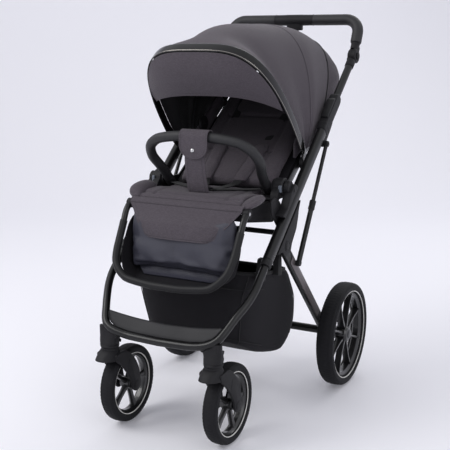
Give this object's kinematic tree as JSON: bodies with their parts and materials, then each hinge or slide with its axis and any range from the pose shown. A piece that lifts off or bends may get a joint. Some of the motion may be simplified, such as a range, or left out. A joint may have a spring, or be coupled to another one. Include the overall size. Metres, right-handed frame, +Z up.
{
  "type": "baby stroller",
  "caption": "Baby stroller with a reclining padded seat, folding fabric canopy, bumper bar, footrest, shopping basket, swivel front wheels and a folding frame",
  "frame": {"origin": "centre of the bottom of the bounding box, on the floor midway between the wheels", "axes": "+X across the stroller, +Y from the front wheels toward the handle, +Z up from the floor"},
  "size_m": [0.584, 0.8832, 1.0797],
  "materials": {
    "frame_black": "satin",
    "plastic_black": "matte",
    "bronze_grey": "satin",
    "tyre_rubber": "matte",
    "melange_fabric": "woven",
    "black_fabric": "woven",
    "calf_leather": "satin",
    "grip_leather": "satin",
    "bow_gloss": "gloss",
    "button_grey": "satin"
  },
  "bodies": {
    "chassis": {"side_rails": "frame_black", "front_tube": "frame_black", "footboard": "plastic_black", "stem_brackets": "plastic_black", "leg_gussets": "plastic_black", "cross_tube": "frame_black", "basket": "black_fabric", "fold_housings": "plastic_black", "upper_tubes": "frame_black", "tilt_knuckles": "plastic_black", "seat_adapters": "plastic_black"},
    "rear_frame": {"rear_legs": "frame_black", "leg_covers": "bronze_grey", "rear_axle": "frame_black", "axle_blocks": "plastic_black"},
    "left_rear_wheel": {"left_rear_tyre": "tyre_rubber", "left_rear_rim": "plastic_black"},
    "right_rear_wheel": {"right_rear_tyre": "tyre_rubber", "right_rear_rim": "plastic_black"},
    "brake_pedal": {"brake_pedal": "plastic_black"},
    "left_upper_strut": {"left_upper_strut": "frame_black"},
    "right_upper_strut": {"right_upper_strut": "frame_black"},
    "left_lower_strut": {"left_lower_strut": "frame_black"},
    "right_lower_strut": {"right_lower_strut": "frame_black"},
    "left_fork": {"left_fork": "plastic_black"},
    "right_fork": {"right_fork": "plastic_black"},
    "left_front_wheel": {"left_front_tyre": "tyre_rubber", "left_front_rim": "plastic_black"},
    "right_front_wheel": {"right_front_tyre": "tyre_rubber", "right_front_rim": "plastic_black"},
    "left_swivel_lock": {"left_swivel_lock": "plastic_black"},
    "right_swivel_lock": {"right_swivel_lock": "plastic_black"},
    "left_fold_slider": {"left_fold_slider": "plastic_black"},
    "right_fold_slider": {"right_fold_slider": "plastic_black"},
    "handle": {"handle_hubs": "plastic_black", "handle_grips": "grip_leather", "handle_middle_piece": "plastic_black"},
    "fold_button": {"fold_button": "bronze_grey"},
    "left_tilt_button": {"left_tilt_button": "plastic_black"},
    "right_tilt_button": {"right_tilt_button": "plastic_black"},
    "seat": {"seat_shell": "black_fabric", "seat_cushion": "melange_fabric", "seat_hubs": "plastic_black", "harness_buckle": "plastic_black"},
    "bumper_releases": {"bumper_buttons": "button_grey"},
    "backrest": {"backrest_arms": "frame_black", "backrest_shell": "black_fabric", "backrest_pad": "melange_fabric", "shoulder_harness": "melange_fabric", "canopy_mounts": "plastic_black", "canopy_rear": "melange_fabric", "canopy_front": "melange_fabric"},
    "canopy_bow": {"canopy_bow": "bow_gloss"},
    "canopy_visor": {"canopy_visor": "melange_fabric"},
    "footrest": {"footrest_tube": "frame_black", "footrest_shell": "black_fabric", "calf_pad": "calf_leather"},
    "bumper": {"bumper_bar": "grip_leather", "crotch_strap": "melange_fabric"}
  },
  "joints": [
    {"name": "rear_fold", "type": "hinge", "parent": "chassis", "child": "rear_frame", "pos_m": [0, -0.11966, 0.48], "axis": [1, 0, 0], "range_deg": [-54, 0], "deforming": ["basket"]},
    {"name": "left_rear_wheel_spin", "type": "hinge", "parent": "rear_frame", "child": "left_rear_wheel", "pos_m": [0.2665, 0.19334, 0.1525], "axis": [1, 0, 0], "continuous": true},
    {"name": "left_strut_swing", "type": "hinge", "parent": "chassis", "child": "left_upper_strut", "pos_m": [0.227, 0.13552, 0.71979], "axis": [1, 0, 0], "range_deg": [-9, 0]},
    {"name": "left_strut_slide", "type": "slide", "parent": "left_upper_strut", "child": "left_lower_strut", "axis": [0, -0.5243, -0.8516], "range_m": [0, 0.08]},
    {"name": "left_swivel", "type": "hinge", "parent": "chassis", "child": "left_fork", "pos_m": [0.153, -0.39466, 0.24], "axis": [0, 0, 1], "continuous": true},
    {"name": "left_front_wheel_spin", "type": "hinge", "parent": "left_fork", "child": "left_front_wheel", "pos_m": [0.153, -0.31966, 0.105], "axis": [1, 0, 0], "continuous": true},
    {"name": "left_swivel_lock_turn", "type": "hinge", "parent": "chassis", "child": "left_swivel_lock", "pos_m": [0.153, -0.36366, 0.256], "axis": [1, 0, 0], "range_deg": [0, 40]},
    {"name": "left_fold_slide", "type": "slide", "parent": "chassis", "child": "left_fold_slider", "axis": [0, 0.766, 0.6428], "range_m": [0, 0.012]},
    {"name": "left_tilt_press", "type": "slide", "parent": "handle", "child": "left_tilt_button", "axis": [-1, 0, 0], "range_m": [0, 0.0035], "stiffness_N_per_m": 300},
    {"name": "right_rear_wheel_spin", "type": "hinge", "parent": "rear_frame", "child": "right_rear_wheel", "pos_m": [-0.2665, 0.19334, 0.1525], "axis": [1, 0, 0], "continuous": true},
    {"name": "right_strut_swing", "type": "hinge", "parent": "chassis", "child": "right_upper_strut", "pos_m": [-0.227, 0.13552, 0.71979], "axis": [1, 0, 0], "range_deg": [-9, 0]},
    {"name": "right_strut_slide", "type": "slide", "parent": "right_upper_strut", "child": "right_lower_strut", "axis": [0, -0.5243, -0.8516], "range_m": [0, 0.08]},
    {"name": "right_swivel", "type": "hinge", "parent": "chassis", "child": "right_fork", "pos_m": [-0.153, -0.39466, 0.24], "axis": [0, 0, 1], "continuous": true},
    {"name": "right_front_wheel_spin", "type": "hinge", "parent": "right_fork", "child": "right_front_wheel", "pos_m": [-0.153, -0.31966, 0.105], "axis": [1, 0, 0], "continuous": true},
    {"name": "right_swivel_lock_turn", "type": "hinge", "parent": "chassis", "child": "right_swivel_lock", "pos_m": [-0.153, -0.36366, 0.256], "axis": [1, 0, 0], "range_deg": [0, 40]},
    {"name": "right_fold_slide", "type": "slide", "parent": "chassis", "child": "right_fold_slider", "axis": [0, 0.766, 0.6428], "range_m": [0, 0.012]},
    {"name": "right_tilt_press", "type": "slide", "parent": "handle", "child": "right_tilt_button", "axis": [1, 0, 0], "range_m": [0, 0.0035], "stiffness_N_per_m": 300},
    {"name": "brake_press", "type": "hinge", "parent": "rear_frame", "child": "brake_pedal", "pos_m": [0, 0.19334, 0.1525], "axis": [1, 0, 0], "range_deg": [-18, 0]},
    {"name": "handle_tilt", "type": "hinge", "parent": "chassis", "child": "handle", "pos_m": [0, 0.37479, 0.9558], "axis": [1, 0, 0], "range_deg": [-75, 15]},
    {"name": "fold_button_press", "type": "slide", "parent": "handle", "child": "fold_button", "axis": [0, 0, 1], "range_m": [0, 0.004], "stiffness_N_per_m": 300},
    {"name": "seat_lift", "type": "slide", "parent": "chassis", "child": "seat", "axis": [0, -0.6428, 0.766], "range_m": [0, 0.2]},
    {"name": "bumper_release_press", "type": "slide", "parent": "seat", "child": "bumper_releases", "axis": [0, 1, 0], "range_m": [0, 0.0035], "stiffness_N_per_m": 300},
    {"name": "recline", "type": "hinge", "parent": "seat", "child": "backrest", "pos_m": [0, -0.07766, 0.627], "axis": [1, 0, 0], "range_deg": [-8, 25]},
    {"name": "canopy_fold", "type": "hinge", "parent": "backrest", "child": "canopy_bow", "pos_m": [0, 0.08434, 0.67], "axis": [-1, 0, 0], "range_deg": [0, 45], "deforming": ["canopy_front"]},
    {"name": "visor_flip", "type": "hinge", "parent": "canopy_bow", "child": "canopy_visor", "pos_m": [0, -0.20968, 0.97655], "axis": [-1, 0, 0], "range_deg": [0, 60]},
    {"name": "footrest_lift", "type": "hinge", "parent": "seat", "child": "footrest", "pos_m": [0, -0.24966, 0.584], "axis": [-1, 0, 0], "range_deg": [0, 50]},
    {"name": "bumper_lift", "type": "slide", "parent": "seat", "child": "bumper", "axis": [0, -0.682, 0.7314], "range_m": [0, 0.06]}
  ],
  "couplings": [
    {"joint": "left_strut_swing", "follows": "rear_fold", "ratio": 0.126},
    {"joint": "left_strut_slide", "follows": "rear_fold", "m_per_rad": -0.0755},
    {"joint": "right_strut_swing", "follows": "rear_fold", "ratio": 0.126},
    {"joint": "right_strut_slide", "follows": "rear_fold", "m_per_rad": -0.0755}
  ]
}
